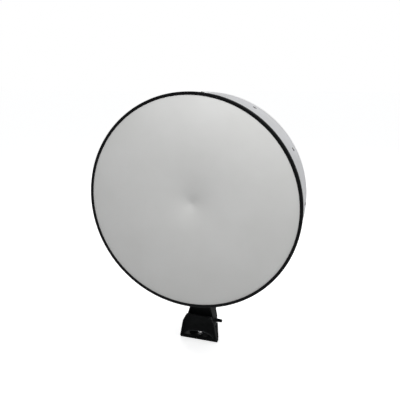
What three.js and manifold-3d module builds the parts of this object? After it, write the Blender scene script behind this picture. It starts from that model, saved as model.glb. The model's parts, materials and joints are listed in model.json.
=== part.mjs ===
// Shrouded parabolic dish antenna, 0.6 m class, on an adjustable mount.
// Millimetres, +Z up. The antenna looks along -Y. The origin is on the azimuth axis,
// at the underside of the base plate.
import * as THREE from "three";
import { mergeVertices } from "three/addons/utils/BufferGeometryUtils.js";
import Module from "manifold-3d";

const wasm = await Module();
wasm.setup();

// ---- driving dimensions ----

const GAP = 0.3; // between pieces that touch

const AXIS_HEIGHT = 510; // antenna axis above the base plate's underside
const RIM_Y = -136; // front plane of the edge trim
const RING_SIDES = 60; // facets round the large rings
const HUB_SIDES = 36; // facets round the hub and the collar
const TUBE_SIDES = 24; // facets round the feed
const HOLE_SIDES = 12; // facets round bolt holes

const SHROUD_RADIUS = 330;
const SHROUD_WALL = 2.2;
const SHROUD_DEPTH = 196; // rim plane to the shroud's rear edge

const TRIM_RADIUS = 334.2;
const TRIM_LIP_RADIUS = 324.6;
const TRIM_DEPTH = 15;

const RADOME_WALL = 3;
const RADOME_DISH = 22; // how far the radome's centre is drawn in

const APERTURE_RADIUS = 322;
const FOCAL_LENGTH = 193.2;
const REFLECTOR_WALL = 2.3;
const REFLECTOR_RIM = 118; // rim plane to the reflector's rim
const SKIRT_DEPTH = 28;
const HUB_FLAT_RADIUS = 82; // the reflector is flat where the hub bolts on

const SCREW_COUNT = 12;
const SCREW_SETBACK = 132; // rim plane to the ring of shroud screws

const HUB_RADIUS = 78;
const HUB_THICKNESS = 23.5;
const HUB_BOLT_CIRCLE = 64; // radius
const TUBE_RADIUS = 19;
const TUBE_BORE = 16.5;

const PIVOT_HEIGHT = 62; // elevation axis above the base plate's underside
const PLATE = 5; // folded and welded steel plate
const FORK_HALF_WIDTH = 50;
const ARM_HALF_WIDTH = 38;
const FORK_EAR_RADIUS = 22;
const YOKE_EAR_HALF_WIDTH = 35;
const YOKE_EAR_RADIUS = 16;
const ELEVATION_SWING = 15; // degrees each way
const AZIMUTH_SWING = 15;
const LOCK_POINT = { y: 80, z: 98 }; // the elevation lock bolt, at rest
const QUADRANT_HALF_THICKNESS = 3;
const LOCK_BOSS = { inner: 32.5, outer: 47, radius: 9 }; // on the arm's cheeks, for the lock bolt

const BASE_THICKNESS = 8;
const WEB_HALF_WIDTH = 56; // of the yoke's front web beside the pivot
const BASE_HALF_WIDTH = 67;
const BASE_REAR_HALF_WIDTH = 40;
const BASE_FRONT = -40;
const BASE_REAR = 70;
const AZIMUTH_LOCKS = [
  // angle in degrees from straight right; the front one shows through the arch
  { name: "left", radius: 54, angle: 121 },
  { name: "right", radius: 54, angle: 59 },
  { name: "front", radius: 24, angle: -90 },
];

// ---- materials ----

const paint = (color, roughness, metalness) =>
  new THREE.MeshStandardMaterial({ color, roughness, metalness });

const MATERIALS = {
  radomeSheet: paint(0xc4c4c2, 0.45, 0),
  rubber: paint(0x1b1c1e, 0.7, 0),
  whitePaint: paint(0xd6d6d8, 0.5, 0.1),
  foam: paint(0x2b2c2e, 0.95, 0),
  spunAluminium: paint(0xd0d1d2, 0.4, 0.6),
  castAluminium: paint(0xa9abad, 0.5, 0.8),
  blackPaint: paint(0x1d2022, 0.55, 0.2),
  zincSteel: paint(0xb4b4ba, 0.35, 0.9),
  blackSteel: paint(0x1c1c1f, 0.45, 0.9),
  plastic: paint(0xe6e4dc, 0.5, 0),
};

// ---- helpers ----

const degrees = (angle) => (angle * Math.PI) / 180;
const pointFrom = (centre, radius, angle) =>
  new THREE.Vector2(
    centre.x + radius * Math.cos(angle),
    centre.y + radius * Math.sin(angle),
  );

function solid(geometry) {
  const bare = geometry.index ? geometry.toNonIndexed() : geometry.clone();
  bare.deleteAttribute("normal");
  bare.deleteAttribute("uv");
  const merged = mergeVertices(bare, 1e-3);
  return new wasm.Manifold(
    new wasm.Mesh({
      numProp: 3,
      vertProperties: merged.attributes.position.array,
      triVerts: new Uint32Array(merged.index.array),
    }),
  );
}

function geometryOf(body) {
  const mesh = body.getMesh();
  const geometry = new THREE.BufferGeometry();
  geometry.setAttribute(
    "position",
    new THREE.BufferAttribute(mesh.vertProperties, mesh.numProp),
  );
  geometry.setIndex(new THREE.BufferAttribute(mesh.triVerts, 1));
  geometry.computeVertexNormals();
  return geometry;
}

const cut = (body, tools) =>
  tools.reduce((left, tool) => left.subtract(tool), body);
const join = (bodies) => bodies.reduce((all, body) => all.add(body));

// A closed profile of [radius, y] points turned round the Y axis.
function turned(profile, sides = RING_SIDES) {
  const points = profile.map(([r, y]) => new THREE.Vector2(r, y));
  const onAxis = points[0].x === 0 && points.at(-1).x === 0;
  if (THREE.ShapeUtils.area(points) < 0) points.reverse();
  if (!onAxis) points.push(points[0].clone());
  return new THREE.LatheGeometry(points, sides);
}

// A straight cylinder or prism along one axis, from one coordinate to another.
function rod(radius, from, to, axis = "y", sides = 16) {
  const geometry = new THREE.CylinderGeometry(
    radius,
    radius,
    Math.abs(to - from),
    sides,
  );
  const middle = (from + to) / 2;
  if (axis === "x") geometry.rotateZ(Math.PI / 2).translate(middle, 0, 0);
  if (axis === "y") geometry.translate(0, middle, 0);
  if (axis === "z") geometry.rotateX(Math.PI / 2).translate(0, 0, middle);
  return geometry;
}

function box(low, high) {
  return new THREE.BoxGeometry(
    high[0] - low[0],
    high[1] - low[1],
    high[2] - low[2],
  ).translate(
    (low[0] + high[0]) / 2,
    (low[1] + high[1]) / 2,
    (low[2] + high[2]) / 2,
  );
}

function outline(points) {
  return new THREE.Shape(points.map(([u, v]) => new THREE.Vector2(u, v)));
}

const FLAT = { bevelEnabled: false, curveSegments: 6 };

// A shape drawn in (y, z), filled from one x to another.
function sideways(shape, from, to) {
  const geometry = new THREE.ExtrudeGeometry(shape, {
    ...FLAT,
    depth: to - from,
  });
  return geometry
    .rotateX(Math.PI / 2)
    .rotateZ(Math.PI / 2)
    .translate(from, 0, 0);
}

// A shape drawn in (x, z), filled from one y to another.
function frontways(shape, from, to) {
  const geometry = new THREE.ExtrudeGeometry(shape, {
    ...FLAT,
    depth: to - from,
  });
  return geometry.rotateX(Math.PI / 2).translate(0, to, 0);
}

// A shape drawn in (x, y), filled from one z to another.
function upright(shape, from, to) {
  return new THREE.ExtrudeGeometry(shape, {
    ...FLAT,
    depth: to - from,
  }).translate(0, 0, from);
}

// A round-ended slot along an arc.
function arcSlot(centre, radius, halfWidth, start, end) {
  const shape = new THREE.Shape();
  const far = pointFrom(centre, radius, end);
  const near = pointFrom(centre, radius, start);
  shape.absarc(centre.x, centre.y, radius + halfWidth, start, end, false);
  shape.absarc(far.x, far.y, halfWidth, end, end + Math.PI, false);
  shape.absarc(centre.x, centre.y, radius - halfWidth, end, start, true);
  shape.absarc(near.x, near.y, halfWidth, start - Math.PI, start, false);
  return shape;
}

function roundedRectangle(left, bottom, right, top, radius) {
  const shape = new THREE.Shape();
  shape.absarc(
    right - radius,
    bottom + radius,
    radius,
    -Math.PI / 2,
    0,
    false,
  );
  shape.absarc(right - radius, top - radius, radius, 0, Math.PI / 2, false);
  shape.absarc(
    left + radius,
    top - radius,
    radius,
    Math.PI / 2,
    Math.PI,
    false,
  );
  shape.absarc(
    left + radius,
    bottom + radius,
    radius,
    Math.PI,
    1.5 * Math.PI,
    false,
  );
  return shape;
}

// Metric hexagon fasteners, standing on y = 0 with the shank along +Y.
const FASTENER = {
  M8: {
    radius: 4,
    hole: 4.5,
    across: 7.5,
    head: 5.3,
    nut: 6.5,
    washer: 8,
    thick: 1.6,
  },
  M10: {
    radius: 5,
    hole: 5.4,
    across: 9.8,
    head: 6.4,
    nut: 8,
    washer: 10,
    thick: 2,
  },
};

function hexBolt(size, length) {
  const { radius, across, head } = FASTENER[size];
  const shank = solid(rod(radius, -1, length, "y", 12));
  const hexagon = solid(rod(across, -head, 0, "y", 6));
  return geometryOf(join([hexagon, shank]));
}

function hexNut(size) {
  const { radius, across, nut } = FASTENER[size];
  const hexagon = solid(rod(across, 0, nut, "y", 6));
  const thread = solid(rod(radius + GAP, -1, nut + 1, "y", 12));
  return geometryOf(cut(hexagon, [thread]));
}

function washer(size) {
  const { radius, washer: outer, thick } = FASTENER[size];
  return turned(
    [
      [radius + GAP, 0],
      [outer, 0],
      [outer, thick],
      [radius + GAP, thick],
    ],
    16,
  );
}

function bush(bore, outer, length) {
  return turned(
    [
      [bore, 0],
      [outer, 0],
      [outer, length],
      [bore, length],
    ],
    16,
  );
}

const part = new THREE.Group();

// The antenna's own parts are drawn round the Y axis, so their group sits on the antenna axis.
const antenna = new THREE.Group();
antenna.position.z = AXIS_HEIGHT;
part.add(antenna);

function add(parent, name, geometry, material) {
  const mesh = new THREE.Mesh(geometry, material);
  mesh.name = name;
  parent.add(mesh);
  return mesh;
}

// ---- antenna housing ----

function edgeTrim() {
  const wall = TRIM_RADIUS - SHROUD_RADIUS - GAP;
  const front = RIM_Y;
  return turned([
    [TRIM_LIP_RADIUS, front + 1],
    [TRIM_LIP_RADIUS + 2, front],
    [TRIM_RADIUS - 2, front],
    [TRIM_RADIUS, front + 2],
    [TRIM_RADIUS, front + TRIM_DEPTH],
    [TRIM_RADIUS - wall, front + TRIM_DEPTH],
    [TRIM_RADIUS - wall, front + wall],
    [TRIM_LIP_RADIUS, front + wall],
  ]);
}

const radomeFace = RIM_Y + TRIM_RADIUS - SHROUD_RADIUS; // the radome's flat rim

function radome() {
  const outer = SHROUD_RADIUS - GAP;
  const inner = TRIM_LIP_RADIUS - 3;
  return turned([
    [0, radomeFace + RADOME_DISH],
    [inner, radomeFace],
    [outer, radomeFace],
    [outer, radomeFace + RADOME_WALL],
    [inner, radomeFace + RADOME_WALL],
    [0, radomeFace + RADOME_DISH + RADOME_WALL],
  ]);
}

const shroudFront = radomeFace + RADOME_WALL + GAP;
const shroudRear = RIM_Y + SHROUD_DEPTH;
const screwY = RIM_Y + SCREW_SETBACK;
const SMALL_SCREW = { shank: 2, hole: 2.4, head: 4, length: 9 };

function screwPlaces() {
  return Array.from(
    { length: SCREW_COUNT },
    (_, i) => (i * 2 * Math.PI) / SCREW_COUNT,
  );
}

function screwHoles(radius) {
  return screwPlaces().map((angle) =>
    solid(
      rod(radius, SHROUD_RADIUS - 15, SHROUD_RADIUS + 5, "z", 8)
        .translate(0, screwY, 0)
        .rotateY(angle),
    ),
  );
}

// A rolled sheet cylinder, its front edge folded in behind the radome and its rear edge rolled in.
function shroud() {
  const inside = SHROUD_RADIUS - SHROUD_WALL;
  const frontFold = 12;
  const rearRoll = 6;
  const body = turned([
    [SHROUD_RADIUS - frontFold, shroudFront],
    [SHROUD_RADIUS, shroudFront],
    [SHROUD_RADIUS, shroudRear],
    [inside - rearRoll, shroudRear],
    [inside - rearRoll, shroudRear - SHROUD_WALL],
    [inside, shroudRear - SHROUD_WALL],
    [inside, shroudFront + SHROUD_WALL],
    [SHROUD_RADIUS - frontFold, shroudFront + SHROUD_WALL],
  ]);
  return geometryOf(cut(solid(body), screwHoles(SMALL_SCREW.hole)));
}

function absorberLiner() {
  const outer = SHROUD_RADIUS - SHROUD_WALL - GAP;
  const thickness = 12;
  const front = shroudFront + SHROUD_WALL + GAP;
  const rear = RIM_Y + REFLECTOR_RIM - 6;
  return turned([
    [outer - thickness, front],
    [outer, front],
    [outer, rear],
    [outer - thickness, rear],
  ]);
}

function shroudScrew() {
  const { head: radius, shank: stem, length } = SMALL_SCREW;
  const head = turned(
    [
      [0, 0],
      [radius, 0],
      [radius * 0.9, 1.6],
      [radius * 0.5, 2.6],
      [0, 2.9],
    ],
    HOLE_SIDES,
  );
  const shank = rod(stem, -length, 1, "y", 8);
  return geometryOf(join([solid(head), solid(shank)])).rotateX(Math.PI / 2);
}

// Depth of the reflector's front face behind its rim plane, at a radius.
const bowlDepth = (r) => (APERTURE_RADIUS ** 2 - r ** 2) / (4 * FOCAL_LENGTH);
const rimY = RIM_Y + REFLECTOR_RIM;
const hubFlatY = rimY + bowlDepth(HUB_FLAT_RADIUS);
const reflectorBack = hubFlatY + REFLECTOR_WALL;

function reflector() {
  const rings = 6;
  const radii = Array.from(
    { length: rings + 1 },
    (_, i) =>
      HUB_FLAT_RADIUS + ((APERTURE_RADIUS - HUB_FLAT_RADIUS) * i) / rings,
  );
  const frontFace = radii.map((r) => [r, rimY + bowlDepth(r)]);
  const backFace = radii
    .slice(0, -1)
    .map((r) => [r, rimY + bowlDepth(r) + REFLECTOR_WALL + 0.4]);
  const skirt = SHROUD_RADIUS - SHROUD_WALL - 0.5;
  const bore = TUBE_RADIUS + 4;
  const body = turned([
    [bore, hubFlatY],
    ...frontFace,
    [skirt, rimY],
    [skirt, rimY + SKIRT_DEPTH],
    [skirt - REFLECTOR_WALL, rimY + SKIRT_DEPTH],
    [skirt - REFLECTOR_WALL, rimY + REFLECTOR_WALL],
    [APERTURE_RADIUS - 1, rimY + REFLECTOR_WALL + 1],
    ...backFace.reverse(),
    [HUB_FLAT_RADIUS - 1, reflectorBack],
    [bore, reflectorBack],
  ]);
  return geometryOf(cut(solid(body), [...screwHoles(SMALL_SCREW.hole), ...hubBoltHoles()]));
}

add(antenna, "radome", radome(), MATERIALS.radomeSheet);
add(antenna, "edge_trim", edgeTrim(), MATERIALS.rubber);
add(antenna, "shroud", shroud(), MATERIALS.whitePaint);
add(antenna, "absorber_liner", absorberLiner(), MATERIALS.foam);
add(antenna, "reflector", reflector(), MATERIALS.spunAluminium);
screwPlaces().forEach((angle, i) => {
  const ring = new THREE.Group();
  ring.rotation.y = angle;
  const name = `shroud_screw_${String(i + 1).padStart(2, "0")}`;
  const screw = add(ring, name, shroudScrew(), MATERIALS.zincSteel);
  screw.position.set(0, screwY, SHROUD_RADIUS + GAP);
  antenna.add(ring);
});

// ---- hub ----

const hubFront = reflectorBack + GAP;
const hubRear = hubFront + HUB_THICKNESS;
const ringThickness = 4;
const ringRear = hubFlatY - GAP;
const ringFront = ringRear - ringThickness;
const armPlateFront = hubRear + GAP;
const armPlateRear = armPlateFront + PLATE + 1;

function hubBoltPlaces() {
  return [45, 135, 225, 315].map((angle) => ({
    x: HUB_BOLT_CIRCLE * Math.cos(degrees(angle)),
    z: HUB_BOLT_CIRCLE * Math.sin(degrees(angle)),
  }));
}

function hubBoltHoles() {
  return hubBoltPlaces().map(({ x, z }) =>
    solid(
      rod(
        FASTENER.M8.hole,
        hubFlatY - 15,
        hubFlatY + 60,
        "y",
        HOLE_SIDES,
      ).translate(x, 0, z),
    ),
  );
}

function hub() {
  const bore = TUBE_RADIUS + 0.5;
  const sealSeat = TUBE_RADIUS + 4;
  const sealDepth = 6;
  const body = turned(
    [
      [bore, hubFront],
      [HUB_RADIUS, hubFront],
      [HUB_RADIUS, hubRear - 2],
      [HUB_RADIUS - 2, hubRear],
      [sealSeat, hubRear],
      [sealSeat, hubRear - sealDepth],
      [bore, hubRear - sealDepth],
    ],
    HUB_SIDES,
  );
  return geometryOf(
    cut(solid(body), [...hubBoltHoles(), ...clampScrewHoles()]),
  );
}

function backingRing() {
  const body = turned(
    [
      [TUBE_RADIUS + 4, ringFront],
      [HUB_RADIUS - 1, ringFront],
      [HUB_RADIUS, ringFront + 1],
      [HUB_RADIUS, ringRear],
      [TUBE_RADIUS + 4, ringRear],
    ],
    HUB_SIDES,
  );
  return geometryOf(cut(solid(body), hubBoltHoles()));
}

// ---- feed ----

const CLAMP_SCREWS = 3;
const CLAMP_CIRCLE = 29; // radius
const CLAMP_SCREW = { shank: 2, hole: 2.4, head: 4.5, height: 3, length: 18 };
const SPLASH_RADIUS = 36;
const FOCUS_GAP = 3; // the splash plate stands this far in front of the focus
const COLLAR_RADIUS = 36;
const COLLAR_THICKNESS = 8;
const POLARISATION_TURN = 90; // degrees

const collarFront = hubRear + GAP;
const collarRear = collarFront + COLLAR_THICKNESS;
const focusY = rimY + bowlDepth(0) - FOCAL_LENGTH;
const tubeFront = focusY + 25;
const tubeRear = collarRear + 20;
const FLANGE = { width: 68.3, height: 49.2, thickness: 6.4 };
const GUIDE = { width: 34.8, height: 15.8 }; // inside of the rectangular waveguide
const FLANGE_HOLES = { x: 28.5, z: 18.5, radius: 2.2 };
const transitionFront = collarRear + 6;
const transitionRear = transitionFront + 30;
const flangeFront = transitionRear + GAP;
const flangeRear = flangeFront + FLANGE.thickness;

function clampPlaces() {
  return Array.from(
    { length: CLAMP_SCREWS },
    (_, i) => degrees(90) + (i * 2 * Math.PI) / CLAMP_SCREWS,
  );
}

const aboutAxis = (radius, angle) => ({
  x: radius * Math.cos(angle),
  z: radius * Math.sin(angle),
});

function clampScrewHoles() {
  return clampPlaces().map((angle) => {
    const { x, z } = aboutAxis(CLAMP_CIRCLE, angle);
    return solid(
      rod(CLAMP_SCREW.hole, hubRear - 12, hubRear + 20, "y", 8).translate(x, 0, z),
    );
  });
}

// The collar's slots run back from each screw, so that the feed can turn the other way under them.
function feedCollar() {
  const body = turned(
    [
      [TUBE_RADIUS + GAP, collarFront],
      [COLLAR_RADIUS, collarFront],
      [COLLAR_RADIUS, collarRear - 1],
      [COLLAR_RADIUS - 1, collarRear],
      [TUBE_RADIUS + GAP, collarRear],
    ],
    HUB_SIDES,
  );
  const centre = new THREE.Vector2(0, 0);
  const slots = clampPlaces().map((angle) =>
    solid(
      frontways(
        arcSlot(
          centre,
          CLAMP_CIRCLE,
          CLAMP_SCREW.hole,
          angle,
          angle + degrees(POLARISATION_TURN),
        ),
        collarFront - 1,
        collarRear + 1,
      ),
    ),
  );
  return geometryOf(cut(solid(body), slots));
}

function clampScrew() {
  const { head: radius, height, shank: stem, length } = CLAMP_SCREW;
  const head = turned(
    [
      [0, 0],
      [radius, 0],
      [radius, height - 1],
      [radius - 1, height],
      [0, height],
    ],
    HOLE_SIDES,
  );
  const shank = rod(stem, -length, 1, "y", 8);
  return geometryOf(join([solid(head), solid(shank)]));
}

function feedTube() {
  return turned(
    [
      [TUBE_BORE, tubeFront],
      [TUBE_RADIUS, tubeFront],
      [TUBE_RADIUS, tubeRear],
      [TUBE_BORE, tubeRear],
    ],
    TUBE_SIDES,
  );
}

// Dielectric cone between the tube's mouth and the splash plate, with a matching point inside the tube.
function feedCone() {
  const mouth = tubeFront - GAP;
  const front = focusY - FOCUS_GAP;
  const rim = SPLASH_RADIUS - 2;
  const plug = TUBE_BORE - 0.4;
  return turned(
    [
      [0, front],
      [rim, front],
      [rim, front + 4],
      [TUBE_RADIUS + 1, mouth - 3],
      [TUBE_RADIUS, mouth],
      [plug, mouth],
      [plug, mouth + 8],
      [0, mouth + 34],
    ],
    TUBE_SIDES,
  );
}

function splashPlate() {
  const rear = focusY - FOCUS_GAP - GAP;
  return turned(
    [
      [0, rear - 6],
      [12, rear - 6],
      [SPLASH_RADIUS - 1, rear - 3],
      [SPLASH_RADIUS, rear - 1],
      [SPLASH_RADIUS, rear],
      [0, rear],
    ],
    TUBE_SIDES,
  );
}

function feedSeal() {
  const inner = TUBE_RADIUS + GAP;
  return turned(
    [
      [inner, hubRear - 4.5],
      [inner + 1.2, hubRear - 5.5],
      [inner + 2.2, hubRear - 5.5],
      [inner + 3.3, hubRear - 4.5],
      [inner + 3.3, hubRear - 2.5],
      [inner + 2.2, hubRear - 1.4],
      [inner + 1.2, hubRear - 1.4],
      [inner, hubRear - 2.5],
    ],
    TUBE_SIDES,
  );
}

function waveguideTransition() {
  const half = 24;
  const block = solid(
    frontways(
      roundedRectangle(-half, -half, half, half, 5),
      transitionFront,
      transitionRear,
    ),
  );
  const socket = solid(
    rod(TUBE_RADIUS + GAP, transitionFront - 1, tubeRear + 1, "y", TUBE_SIDES),
  );
  return geometryOf(cut(block, [socket, guideBore(transitionRear + 1)]));
}

function guideBore(rear) {
  return solid(
    box(
      [-GUIDE.width / 2, tubeRear, -GUIDE.height / 2],
      [GUIDE.width / 2, rear, GUIDE.height / 2],
    ),
  );
}

function inputFlange() {
  const { width, height } = FLANGE;
  const plate = solid(
    frontways(
      roundedRectangle(-width / 2, -height / 2, width / 2, height / 2, 4),
      flangeFront,
      flangeRear,
    ),
  );
  const holes = [];
  for (const x of [-FLANGE_HOLES.x, 0, FLANGE_HOLES.x]) {
    for (const z of [-FLANGE_HOLES.z, FLANGE_HOLES.z]) {
      const hole = rod(
        FLANGE_HOLES.radius,
        flangeFront - 1,
        flangeRear + 1,
        "y",
        8,
      );
      holes.push(solid(hole.translate(x, 0, z)));
    }
  }
  return geometryOf(cut(plate, [...holes, guideBore(flangeRear + 1)]));
}

add(antenna, "backing_ring", backingRing(), MATERIALS.castAluminium);
add(antenna, "hub", hub(), MATERIALS.castAluminium);
hubBoltPlaces().forEach(({ x, z }, i) => {
  const bolt = add(
    antenna,
    `hub_bolt_${i + 1}`,
    hexBolt("M8", armPlateRear + 12 - ringFront),
    MATERIALS.zincSteel,
  );
  bolt.position.set(x, ringFront - GAP, z);
  const nut = add(
    antenna,
    `hub_nut_${i + 1}`,
    hexNut("M8"),
    MATERIALS.zincSteel,
  );
  nut.position.set(x, armPlateRear + GAP, z);
});
add(antenna, "feed_tube", feedTube(), MATERIALS.castAluminium);
add(antenna, "feed_cone", feedCone(), MATERIALS.plastic);
add(antenna, "splash_plate", splashPlate(), MATERIALS.castAluminium);
add(antenna, "feed_seal", feedSeal(), MATERIALS.rubber);
add(antenna, "feed_collar", feedCollar(), MATERIALS.castAluminium);
add(
  antenna,
  "waveguide_transition",
  waveguideTransition(),
  MATERIALS.castAluminium,
);
add(antenna, "input_flange", inputFlange(), MATERIALS.castAluminium);
clampPlaces().forEach((angle, i) => {
  const { x, z } = aboutAxis(CLAMP_CIRCLE, angle);
  const screw = add(
    antenna,
    `feed_clamp_screw_${i + 1}`,
    clampScrew(),
    MATERIALS.zincSteel,
  );
  screw.position.set(x, collarRear + GAP, z);
});

// ---- support arm ----

const armTop = AXIS_HEIGHT - SHROUD_RADIUS - 12; // clears the shroud above it
const armBottom = 82;
const armFront = -FORK_EAR_RADIUS;
const neckFront = shroudRear + 10; // the arm turns up behind the shroud
const taperStart = PIVOT_HEIGHT + 8;
const taperEnd = PIVOT_HEIGHT + 50;
const cheekTop = AXIS_HEIGHT - HUB_RADIUS - 7;

// Where the sloping upper part of the neck follows the back of the reflector.
const neckLow = { y: neckFront + 9, z: AXIS_HEIGHT - 190 };
const neckHigh = { y: hubFront + 5, z: cheekTop - 10 };

function cheekProfile() {
  const shape = new THREE.Shape();
  shape.absarc(0, PIVOT_HEIGHT, FORK_EAR_RADIUS, Math.PI, 2 * Math.PI, false);
  for (const [y, z] of [
    [FORK_EAR_RADIUS, PIVOT_HEIGHT + 10],
    [FORK_EAR_RADIUS + 5, armBottom + 8],
    [FORK_EAR_RADIUS + 14, armBottom + 17],
    [FORK_EAR_RADIUS + 28, armBottom + 17],
    [LOCK_POINT.y - 17, armBottom + 8],
    [LOCK_POINT.y - 11, armBottom],
    [armPlateFront - 22, armBottom],
    [armPlateFront, armBottom + 22],
    [armPlateFront, cheekTop],
    [neckHigh.y, cheekTop],
    [neckHigh.y, neckHigh.z],
    [neckLow.y, neckLow.z],
    [neckFront, neckLow.z - 15],
    [neckFront, armTop],
    [armFront + 16, armTop],
    [armFront, armTop - 16],
  ]) {
    shape.lineTo(y, z);
  }
  return shape;
}

// The web joins the cheeks along their front and upper side, set back from the cheeks' edges.
function webProfile() {
  const setBack = 8;
  const front = armFront + setBack;
  const neck = neckFront + setBack;
  const webFoot = PIVOT_HEIGHT + YOKE_EAR_RADIUS + 0.5;
  return outline([
    [front, webFoot],
    [front, armTop - 11],
    [front + 11, armTop],
    [neckFront - 2, armTop],
    [neck, armTop - 6],
    [neck, neckLow.z - 17],
    [neckLow.y + setBack, neckLow.z - 1],
    [neckHigh.y + setBack, cheekTop - 12],
    [armPlateFront + 1, cheekTop - 12],
    [armPlateFront + 1, cheekTop - 17],
    [neckHigh.y + setBack + 4, cheekTop - 17],
    [neckLow.y + setBack + PLATE, neckLow.z - 3],
    [neck + PLATE, neckLow.z - 19],
    [neck + PLATE, armTop - 11],
    [neckFront - 4, armTop - PLATE],
    [front + 13, armTop - PLATE],
    [front + PLATE, armTop - 13],
    [front + PLATE, webFoot],
  ]);
}

// Seen from the front the arm narrows from the fork to the neck.
function armWidthProfile(inset) {
  const fork = FORK_HALF_WIDTH - inset;
  const neck = ARM_HALF_WIDTH - inset;
  return outline([
    [-fork, 0],
    [fork, 0],
    [fork, taperStart],
    [neck, taperEnd],
    [neck, AXIS_HEIGHT],
    [-neck, AXIS_HEIGHT],
    [-neck, taperEnd],
    [-fork, taperStart],
  ]);
}

function hubPlate() {
  const halfWidth = 72;
  const top = AXIS_HEIGHT + HUB_RADIUS;
  const bottom = AXIS_HEIGHT - 170;
  const shoulder = AXIS_HEIGHT - HUB_RADIUS;
  const foot = ARM_HALF_WIDTH + 8;
  const shape = outline([
    [-foot, bottom],
    [foot, bottom],
    [halfWidth, shoulder],
    [halfWidth, top - 20],
    [halfWidth - 20, top],
    [20 - halfWidth, top],
    [-halfWidth, top - 20],
    [-halfWidth, shoulder],
  ]);
  return solid(frontways(shape, armPlateFront, armPlateRear));
}

function supportArm() {
  const reach = 400;
  const side = solid(sideways(cheekProfile(), -reach, reach));
  const outer = solid(frontways(armWidthProfile(0), -reach, reach));
  const inner = solid(frontways(armWidthProfile(PLATE), -reach, reach));
  const cheeks = side.intersect(outer).subtract(inner);
  const web = solid(
    sideways(webProfile(), -ARM_HALF_WIDTH * 2, ARM_HALF_WIDTH * 2),
  ).intersect(outer);
  const bosses = [-1, 1].map((side) =>
    solid(
      rod(
        LOCK_BOSS.radius,
        side * LOCK_BOSS.inner,
        side * LOCK_BOSS.outer,
        "x",
      ).translate(0, LOCK_POINT.y, LOCK_POINT.z),
    ),
  );
  const feedHole = rod(
    COLLAR_RADIUS + 5,
    armPlateFront - 1,
    armPlateRear + 1,
    "y",
    TUBE_SIDES,
  ).translate(0, 0, AXIS_HEIGHT);
  const crossHole = (y, z) =>
    solid(
      rod(FASTENER.M8.hole, -reach, reach, "x", HOLE_SIDES).translate(0, y, z),
    );
  const hubHoles = hubBoltHoles().map((hole) =>
    hole.translate(0, 0, AXIS_HEIGHT),
  );
  return geometryOf(
    cut(join([cheeks, web, hubPlate(), ...bosses]), [
      solid(feedHole),
      crossHole(0, PIVOT_HEIGHT),
      crossHole(LOCK_POINT.y, LOCK_POINT.z),
      ...hubHoles,
    ]),
  );
}

add(part, "support_arm", supportArm(), MATERIALS.blackPaint);

// ---- yoke ----

const floorBottom = BASE_THICKNESS + GAP;
const floorTop = floorBottom + PLATE;
const yokeFront = BASE_FRONT + 1;
const webTop = PIVOT_HEIGHT + 30;
const lipReach = 8; // the front web's side lips stand this far forward

// Seen from the front the web narrows a little to the pivot, then follows the arm's taper.
function webOutline(inset, overrun) {
  const bottom = BASE_HALF_WIDTH - inset;
  const middle = WEB_HALF_WIDTH - inset;
  const top = ARM_HALF_WIDTH + 7 - inset;
  return outline([
    [-bottom, floorBottom - overrun],
    [bottom, floorBottom - overrun],
    [middle, taperStart],
    [top, webTop + overrun],
    [-top, webTop + overrun],
    [-middle, taperStart],
  ]);
}

function frontWeb() {
  const face = webOutline(0, 0);
  const hollow = webOutline(PLATE, 1);
  const channel = solid(frontways(face, yokeFront - lipReach, yokeFront + PLATE));
  return channel.subtract(
    solid(frontways(hollow, yokeFront - lipReach - 1, yokeFront)),
  );
}

// The arch lets a spanner reach the azimuth bolt from the front.
function archOpening() {
  const halfWidth = 50;
  const height = 20;
  const shape = new THREE.Shape();
  shape.moveTo(-halfWidth, floorTop);
  shape.absellipse(0, floorTop, halfWidth, height, Math.PI, 0, true, 0);
  return solid(frontways(shape, yokeFront - lipReach - 2, yokeFront + PLATE + 2));
}

function yokeCheek(outer) {
  const shape = new THREE.Shape();
  const inside = yokeFront + 1;
  shape.moveTo(inside, floorTop - 1);
  shape.lineTo(26, floorTop - 1);
  shape.lineTo(YOKE_EAR_RADIUS, PIVOT_HEIGHT);
  shape.absarc(0, PIVOT_HEIGHT, YOKE_EAR_RADIUS, 0, Math.PI / 2, false);
  shape.lineTo(inside, PIVOT_HEIGHT + 4);
  return solid(sideways(shape, outer - PLATE / 2, outer + PLATE / 2));
}

// The foot is as wide as the front web there, and narrows towards the rear.
function footOutline(front, rear) {
  const straight = 16; // before it starts to narrow
  return outline([
    [-BASE_HALF_WIDTH, front],
    [BASE_HALF_WIDTH, front],
    [BASE_HALF_WIDTH, front + straight],
    [BASE_REAR_HALF_WIDTH, rear],
    [-BASE_REAR_HALF_WIDTH, rear],
    [-BASE_HALF_WIDTH, front + straight],
  ]);
}

const yokeFloor = () =>
  solid(upright(footOutline(yokeFront, BASE_REAR - 4), floorBottom, floorTop));

function azimuthLockPlaces() {
  return AZIMUTH_LOCKS.map(({ name, radius, angle }) => ({
    name,
    radius,
    angle: degrees(angle),
    x: radius * Math.cos(degrees(angle)),
    y: radius * Math.sin(degrees(angle)),
  }));
}

function yoke() {
  const ear = YOKE_EAR_HALF_WIDTH - PLATE / 2;
  const centre = new THREE.Vector2(0, 0);
  const swing = degrees(AZIMUTH_SWING);
  const slots = azimuthLockPlaces().map(({ radius, angle }) =>
    solid(
      upright(
        arcSlot(
          centre,
          radius,
          FASTENER.M8.hole,
          angle - swing,
          angle + swing,
        ),
        floorBottom - 1,
        floorTop + 1,
      ),
    ),
  );
  const azimuthHole = rod(FASTENER.M10.hole, 0, 40, "z");
  const pivotHole = rod(
    FASTENER.M8.hole,
    -BASE_HALF_WIDTH,
    BASE_HALF_WIDTH,
    "x",
    HOLE_SIDES,
  ).translate(0, 0, PIVOT_HEIGHT);
  const welded = join([frontWeb(), yokeFloor(), yokeCheek(-ear), yokeCheek(ear)]);
  return geometryOf(
    cut(welded, [archOpening(), solid(azimuthHole), solid(pivotHole), ...slots]),
  );
}

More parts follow.
